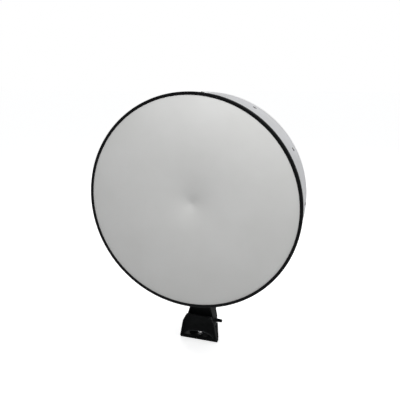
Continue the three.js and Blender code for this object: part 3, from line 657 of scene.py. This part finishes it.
def make_shroud_seam():
    """Where the rolled sheet laps over itself, under the antenna, held by a row of rivets."""
    half = 11 * MM / shroud_outer  # of the lap, as an angle
    front, rear = trim_rear + 9 * MM, shroud_rear - 32 * MM
    low, high = shroud_outer - 0.3 * MM, shroud_outer + 1.2 * MM
    outline = rounded([(front, low), (front, high), (rear, high), (rear, low)], 0.5 * MM)
    strip = lathe(outline, 8, start=math.pi - half, sweep=2 * half)
    show(strip, "shroud_seam", BODY_OF["shroud"], SLOT_OF["shroud"])
    rivets = 6
    down = Vector((0, 0, -1))
    for i in range(rivets):
        y = front + (rear - front) * (i + 0.5) / rivets
        place = AXIS_PLACE + down * high + BACKWARDS * y
        pop_rivet(f"seam_rivet_{i + 1}", place, down, BODY_OF["shroud"], SLOT_OF["shroud"])


def make_reflector():
    """A spun paraboloid with a turned-back skirt; its back shows behind the shroud."""
    source = [(v.co.y, math.hypot(v.co.x, v.co.z - AXIS)) for v in NODES["reflector"].data.vertices]
    wall = 2.3 * MM
    bore = inner_radius("reflector")
    rim_y, back_y = span_y("reflector")
    flat_radius, aperture = 82 * MM, 322 * MM
    round_rim, round_rear = 1.5 * MM, 0.8 * MM
    skirt = max(radius for _, radius in source)
    skirt_rear = max(y for y, radius in source if radius > skirt - 1 * MM)
    flat_y = back_y - wall
    steps = 48

    def bowl(radius):
        rise = (aperture ** 2 - radius ** 2) / (aperture ** 2 - flat_radius ** 2)
        return rim_y + (flat_y - rim_y) * rise

    radii = [flat_radius + (aperture - flat_radius) * i / steps for i in range(steps + 1)]
    front = [(bowl(r), r) for r in radii]
    back = [(bowl(r) + wall, r - 0.6 * MM) for r in radii if r < aperture - 3 * MM]
    hem = [
        (rim_y, skirt - round_rim),
        (rim_y + round_rim, skirt),
        (skirt_rear - round_rear, skirt),
        (skirt_rear, skirt - round_rear),
        (skirt_rear, skirt - wall + 0.5 * MM),
        (skirt_rear - 0.5 * MM, skirt - wall),
        (rim_y + wall + 1 * MM, skirt - wall),
        (rim_y + wall + 0.6 * MM, skirt - wall - 1.6 * MM),
    ]
    flat = [(back_y, flat_radius - 1 * MM), (back_y, bore), (flat_y, bore)]
    replace("reflector", lathe(front + hem + list(reversed(back)) + flat, 288), 40)


light_only(face_light, [make_radome()])
make_edge_trim()
make_shroud()
make_shroud_seam()
make_reflector()

# ---- fasteners ----

AXES = {"x": Vector((1, 0, 0)), "y": Vector((0, 1, 0)), "z": Vector((0, 0, 1))}
THREAD_PITCH = {4: 1.25 * MM, 5: 1.5 * MM}  # by shank radius, in millimetres
SMALL_PITCH = 0.8 * MM  # of every other shank
THREAD_DEPTH = 0.54  # of a pitch
THREAD_STEPS = 8  # along each pitch
CHAMFER_FALL = 0.55  # how far a hexagon's chamfer falls, for each unit that it reaches outwards


class Measured:
    """A fastener's real sizes, read off its CAD node along one axis."""

    def __init__(self, node, axis):
        self.axis = AXES[axis]
        self.centre = middle(node)
        spots = []
        for vertex in NODES[node].data.vertices:
            offset = vertex.co - self.centre
            along = offset.dot(self.axis)
            spots.append((along, (offset - self.axis * along).length))
        self.start = min(along for along, _ in spots)
        self.end = max(along for along, _ in spots)
        self.widest = max(radius for _, radius in spots)
        self.narrowest = min(radius for _, radius in spots if radius > 1 * MM)  # so not a point on the axis
        wide = [along for along, radius in spots if radius > self.widest * 0.8]  # the head
        self.wide_start, self.wide_end = min(wide), max(wide)


def hexagon(apothem, angle):
    """Distance from a hexagon's centre to its side, in the direction of angle."""
    sector = math.pi / 3
    return apothem / math.cos((angle % sector) - sector / 2)


def thread(radius, pitch, along, angle):
    """Radius of a screw thread: a zigzag that climbs one pitch in each turn."""
    phase = (along / pitch - angle / TURN) % 1
    return radius - THREAD_DEPTH * pitch * abs(2 * phase - 1)


def shank(length, radius, threaded):
    """Outline of a bolt's shank from 0 to length, threaded over its last part."""
    pitch = THREAD_PITCH.get(round(radius / MM), SMALL_PITCH)
    plain = max(length - threaded, 0)
    taper = pitch * 0.9

    def outline_at(angle):
        points = [(0, radius), (plain, radius)]
        steps = int(THREAD_STEPS * (length - taper - plain) / pitch)
        for i in range(1, steps):
            along = plain + i * pitch / THREAD_STEPS
            points.append((along, thread(radius, pitch, along, angle)))
        return points + [(length - taper, radius * 0.94), (length, radius * 0.76), (length, 0)]

    return outline_at


def make_bolt(node, axis, threaded):
    """A hexagon-head bolt with a chamfered, dished head and a real thread."""
    size = Measured(node, axis)
    forward = abs(size.wide_start - size.start) < abs(size.wide_end - size.end)
    direction = size.axis if forward else -size.axis
    seat = size.wide_end if forward else -size.wide_start
    head = size.wide_end - size.wide_start
    length = (size.end - size.start) - head
    apothem = size.widest * math.cos(math.pi / 6)
    stem = shank(length, size.narrowest, threaded)
    ring, dish = apothem * 0.94, 0.35 * MM

    def outline_at(angle):
        flat = hexagon(apothem, angle)
        top = [
            (-head + dish, 0),
            (-head + dish, ring * 0.72),
            (-head, ring * 0.84),
            (-head, ring),
            (-head + (flat - ring) * CHAMFER_FALL, flat),
        ]
        washer_face = [(-0.5 * MM, flat), (-0.4 * MM, apothem * 0.96), (0, ring)]
        return top + washer_face + stem(angle)

    place = size.centre + direction * seat
    replace(node, turned(outline_at, 48, place, direction), 32)


def make_nut(node, axis):
    """A hexagon nut chamfered on both faces, with a countersunk bore."""
    size = Measured(node, axis)
    height = size.end - size.start
    apothem = size.widest * math.cos(math.pi / 6)
    bore, sink = size.narrowest, 0.5 * MM
    ring = apothem * 0.95

    def outline_at(angle):
        flat = hexagon(apothem, angle)
        drop = (flat - ring) * CHAMFER_FALL
        return [
            (sink, bore), (0, bore + sink), (0, ring), (drop, flat),
            (height - drop, flat), (height, ring), (height, bore + sink), (height - sink, bore),
        ]

    place = size.centre + size.axis * size.start
    replace(node, turned(outline_at, 48, place, size.axis), 32)


def make_ring(node, axis, rounding):
    """A washer, spacer or bush."""
    size = Measured(node, axis)
    inner, outer = size.narrowest, size.widest
    corners = [(size.start, inner), (size.start, outer), (size.end, outer), (size.end, inner)]
    outline = rounded(corners, rounding)
    replace(node, turned(lambda angle: outline, 40, size.centre, size.axis), 50)


def make_thread_cap():
    """A moulded rubber cap with a domed end and two grooves for grip."""
    size = Measured("thread_cap", "x")
    start, end, outer = size.start, size.end, size.widest
    wall, groove, dome = 1.4 * MM, 0.4 * MM, 4 * MM
    bore = outer - wall
    outline = [(end - wall, 0), (end - wall, bore), (start, bore), (start, outer)]
    for place in (start + 4 * MM, start + 6 * MM):
        outline += [(place - groove, outer), (place, outer - groove), (place + groove, outer)]
    outline += [
        (end - dome * (1 - math.sin(angle)), outer - dome * (1 - math.cos(angle)))
        for angle in (math.radians(15 * step) for step in range(7))
    ]
    outline.append((end, 0))
    replace("thread_cap", turned(lambda angle: outline, 32, size.centre, size.axis), 50)


def pan_head_screw(node, place, outward):
    """A pan head with a cross recess, narrowing into the hole below it."""
    size = Measured(node, "y")
    radius = (size.end - size.start) / 2
    height, stem = 2.4 * MM, 3 * MM
    arm_half, arm_reach = radius * 0.16, radius * 0.6  # of the cross
    dome = ((0.9, 0.6), (0.74, 0.82), (0.42, 0.97), (0.1, 1.0), (0, 0.97))  # shares of height and radius

    def recess(angle):
        sine, cosine = abs(math.sin(angle)) + 1e-6, abs(math.cos(angle)) + 1e-6
        one = min(arm_half / sine, arm_reach / cosine)
        other = min(arm_half / cosine, arm_reach / sine)
        return max(one, other)

    def outline_at(angle):
        edge = recess(angle)
        lip = height * (1 - 0.12 * (edge / radius) ** 2)
        points = [(height * 0.35, 0), (height * 0.45, edge * 0.72), (lip, edge)]
        points += [(height * up, max(radius * out, edge + 0.02 * MM)) for up, out in dome]
        return points + [(-stem, radius * 0.45), (-stem, 0)]

    replace(node, turned(outline_at, 48, place, outward), 38)


def make_shroud_screws():
    """Each screw pulls down on a black sealing washer."""
    thickness, inner, outer = 1.1 * MM, 2 * MM, 6 * MM
    lift, sunk = 0.7 * MM, 0.1 * MM  # of the head above the shroud, and of the seal below it
    seal = rounded([(0, inner), (0, outer), (thickness, outer), (thickness, inner)], 0.4 * MM)
    for node in sorted(name for name in NODES if name.startswith("shroud_screw_")):
        centre = middle(node)
        outward = Vector((centre.x, 0, centre.z - AXIS)).normalized()
        skin = Vector((0, centre.y, AXIS)) + outward * shroud_outer
        pan_head_screw(node, skin + outward * lift, outward)
        washer = turned(lambda angle: seal, 32, skin - outward * sunk, outward)
        show(washer, node + "_seal", BODY_OF[node], "black_rubber", 50)


make_bolt("elevation_bolt", "x", threaded=32 * MM)
make_bolt("elevation_lock_bolt", "x", threaded=22 * MM)
make_bolt("azimuth_bolt", "z", threaded=12 * MM)
for place in ("left", "right", "front"):
    make_bolt(f"azimuth_lock_{place}_bolt", "z", threaded=12 * MM)
    make_ring(f"azimuth_lock_{place}_washer", "z", rounding=0.35 * MM)
for side in ("left", "right"):
    make_ring(f"elevation_washer_{side}", "x", rounding=0.35 * MM)
    make_ring(f"pivot_bush_{side}", "x", rounding=0.6 * MM)
    make_ring(f"lock_spacer_{side}", "x", rounding=0.5 * MM)
make_ring("azimuth_washer", "z", rounding=0.4 * MM)
make_nut("elevation_nut", "x")
make_thread_cap()
make_nut("elevation_lock_nut", "x")
for number in range(1, 5):
    make_bolt(f"hub_bolt_{number}", "y", threaded=16 * MM)
    make_nut(f"hub_nut_{number}", "y")
for number in range(1, 4):
    make_bolt(f"feed_clamp_screw_{number}", "y", threaded=6 * MM)
make_shroud_screws()

# ---- bracket, hub and feed ----

for node, width in (
    ("support_arm", 0.9 * MM),
    ("yoke", 0.9 * MM),
    ("base_plate", 1.2 * MM),
    ("elevation_quadrant", 0.5 * MM),
    ("hub", 1.4 * MM),
    ("backing_ring", 0.5 * MM),
    ("feed_collar", 0.5 * MM),
    ("waveguide_transition", 0.8 * MM),
    ("input_flange", 0.4 * MM),
    ("splash_plate", 0.4 * MM),
    ("feed_cone", 0.5 * MM),
    ("feed_tube", 0.3 * MM),
    ("feed_seal", 0.8 * MM),
    ("absorber_liner", 1.5 * MM),
):
    softened(node, width)

# ---- welds and the arch's lip ----

WELD_RADIUS = 2.2 * MM
WELD_RIPPLE = 2.6 * MM  # length of one ripple along the bead
WELD_TAPER = 2 * MM  # length of each end
SIDE_LIP = 8 * MM  # how far the yoke's side lips stand in front of its web
ARCH_HALF_WIDTH, ARCH_HEIGHT = 50 * MM, 20 * MM


def circle(work, spot, across, up, radius, sides):
    """A loop of points round spot, in the plane of across and up."""
    return [
        work.verts.new(spot + (across * math.cos(turn) + up * math.sin(turn)) * radius)
        for turn in (TURN * side / sides for side in range(sides))
    ]


def skin(work, loops):
    """Joins a row of loops into a closed rod."""
    for loop, after in zip(loops, loops[1:]):
        for i in range(len(loop)):
            j = (i + 1) % len(loop)
            work.faces.new((loop[i], loop[j], after[j], after[i]))
    work.faces.new(loops[0])
    work.faces.new(loops[-1])


def part_of(node, low, high):
    """The corners of what a CAD node has between two heights."""
    spots = [v.co for v in NODES[node].data.vertices if low <= v.co.z <= high]
    return [Vector(pick(spot[i] for spot in spots) for i in range(3)) for pick in (min, max)]


def yoke_floor():
    """Height of the top of the yoke's floor."""
    return part_of("yoke", 12 * MM, 13.5 * MM)[1].z


def weld(name, body, start, end, outward):
    """A rippled bead along a straight inside corner; outward points out of the corner."""
    start, end, outward = Vector(start), Vector(end), Vector(outward).normalized()
    along = (end - start).normalized()
    across = along.cross(outward)
    length = (end - start).length
    rings = max(int(length / (WELD_RIPPLE / 4)), 8)
    work = bmesh.new()
    loops = []
    for i in range(rings + 1):
        travelled = length * i / rings
        taper = min(1, travelled / WELD_TAPER, (length - travelled) / WELD_TAPER)
        ripple = 0.14 * abs(math.sin(math.pi * travelled / WELD_RIPPLE))
        radius = WELD_RADIUS * (1 + ripple + random.uniform(-0.03, 0.03)) * (0.3 + 0.7 * taper)
        loops.append(circle(work, start + along * travelled, across, outward, radius, sides=10))
    skin(work, loops)
    show(work, name, body, "black_powder_coat", 60)


def make_welds():
    random.seed(3)
    plate_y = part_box("hub")[1].y + 0.3 * MM  # the front of the arm's hub plate
    plate_foot = AXIS - 170 * MM
    neck = part_of("support_arm", plate_foot - 60 * MM, plate_foot - 5 * MM)[1].x
    cheek_top = AXIS - 85 * MM
    floor = yoke_floor()
    web_rear, cheek_rear = -34 * MM, 22 * MM
    web_weld_foot, web_weld_top = floor + 6 * MM, floor + 44 * MM
    cheek_outside = 35 * MM
    blade, blade_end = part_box("elevation_quadrant")
    blade_weld_front, blade_weld_rear = 26 * MM, 58 * MM
    for side, word in ((-1, "left"), (1, "right")):
        x = side * neck
        weld(
            f"neck_weld_{word}", "antenna",
            (x, plate_y, plate_foot + 4 * MM), (x, plate_y, cheek_top - 2 * MM), (side, -1, 0),
        )
        x = side * cheek_outside
        weld(
            f"cheek_weld_{word}", "yoke",
            (x, web_rear + 3 * MM, floor), (x, cheek_rear, floor), (side, 0, 1),
        )
        weld(
            f"web_weld_{word}", "yoke",
            (x, web_rear, web_weld_foot), (x, web_rear, web_weld_top), (side, 1, 0),
        )
        x = blade.x if side < 0 else blade_end.x
        weld(
            f"blade_weld_{word}", "yoke",
            (x, blade_weld_front, floor), (x, blade_weld_rear, floor), (side, 0, 1),
        )


def make_arch_lip():
    """The web is flanged a little round its arch, which shows as a light line."""
    web_front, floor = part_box("yoke")[0].y + SIDE_LIP, yoke_floor()
    radius, steps = 1.5 * MM, 64
    work = bmesh.new()
    loops = []
    for step in range(steps + 1):
        turn = math.pi * step / steps
        spot = Vector((ARCH_HALF_WIDTH * math.cos(turn), web_front, floor + ARCH_HEIGHT * math.sin(turn)))
        outward = Vector((math.cos(turn) / ARCH_HALF_WIDTH, 0, math.sin(turn) / ARCH_HEIGHT)).normalized()
        loops.append(circle(work, spot, outward, -BACKWARDS, radius, sides=8))
    skin(work, loops)
    return show(work, "arch_lip", "yoke", "black_powder_coat", 60)


make_welds()
light_only(arch_light, [make_arch_lip()])
